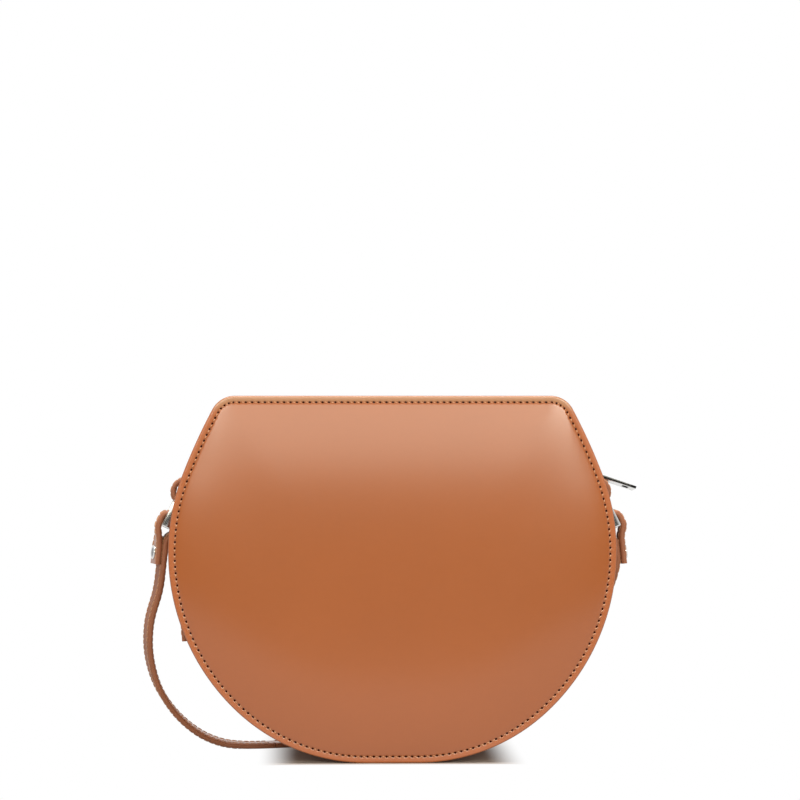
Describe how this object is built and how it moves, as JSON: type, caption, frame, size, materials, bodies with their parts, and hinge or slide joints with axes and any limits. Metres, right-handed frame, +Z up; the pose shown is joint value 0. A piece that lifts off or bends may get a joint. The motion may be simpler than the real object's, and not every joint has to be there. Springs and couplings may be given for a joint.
{
  "type": "half moon bag",
  "caption": "Stiff half moon shoulder bag of smooth tan leather with a zipped flanged gusset, side tabs, metal rings and a flat leather strap.",
  "frame": {"origin": "middle of the front panel's bottom edge, halfway through the panel's thickness, on the surface that the bag stands on", "axes": "+X to the bag's right as seen from the front, +Y from the front panel to the back panel, +Z up"},
  "size_m": [0.2347, 0.1028, 0.172],
  "materials": {
    "panel_leather": "smooth tan cowhide, polished, semi-gloss",
    "trim_leather": "smooth tan cowhide, satin",
    "board": "bonded leather board, matt",
    "lining_cloth": "tan cotton lining",
    "zip_tape": "tan woven zip tape",
    "thread": "pale tan bonded thread",
    "zip_metal": "nickel plated teeth",
    "polished_metal": "polished nickel plate"
  },
  "bodies": {
    "shell": {"front_panel": "panel_leather", "back_panel": "panel_leather", "front_stiffener": "board", "back_stiffener": "board", "gusset_stiffener": "board", "front_lining": "lining_cloth", "back_lining": "lining_cloth", "gusset_lining": "lining_cloth", "zip_facing_front": "lining_cloth", "zip_facing_back": "lining_cloth", "inner_pocket": "lining_cloth", "lower_gusset": "trim_leather", "zip_gusset_front": "trim_leather", "zip_gusset_back": "trim_leather", "ring_tab_left": "trim_leather", "ring_tab_right": "trim_leather", "seam_thread_front": "thread", "seam_thread_back": "thread", "zip_tape_front": "zip_tape", "zip_tape_back": "zip_tape", "zip_teeth_front": "zip_metal", "zip_teeth_back": "zip_metal", "zip_top_stop_front": "zip_metal", "zip_top_stop_back": "zip_metal", "zip_bottom_stop": "zip_metal", "shoulder_strap": "trim_leather"},
    "slider": {"zip_slider": "polished_metal", "zip_slider_underplate": "polished_metal"},
    "puller": {"zip_puller": "polished_metal"},
    "left_ring": {"ring_left": "polished_metal", "strap_rivet_cap_left": "polished_metal", "strap_rivet_post_left": "polished_metal"},
    "right_ring": {"ring_right": "polished_metal", "strap_rivet_cap_right": "polished_metal", "strap_rivet_post_right": "polished_metal"}
  },
  "joints": [
    {"name": "zip_slider_travel", "type": "slide", "parent": "shell", "child": "slider", "axis": [-0.4097, 0, 0.9122], "range_m": [0, 0.02]},
    {"name": "zip_puller_hinge", "type": "hinge", "parent": "slider", "child": "puller", "pos_m": [0.09332, 0.029, 0.13587], "axis": [0, -1, 0], "range_deg": [0, 110]},
    {"name": "left_ring_hinge", "type": "hinge", "parent": "shell", "child": "left_ring", "pos_m": [-0.09964, 0.029, 0.12584], "axis": [0, 1, 0], "range_deg": [-5, 45], "deforming": ["shoulder_strap"]},
    {"name": "right_ring_hinge", "type": "hinge", "parent": "shell", "child": "right_ring", "pos_m": [0.09964, 0.029, 0.12584], "axis": [0, -1, 0], "range_deg": [-5, 45], "deforming": ["shoulder_strap"]}
  ]
}
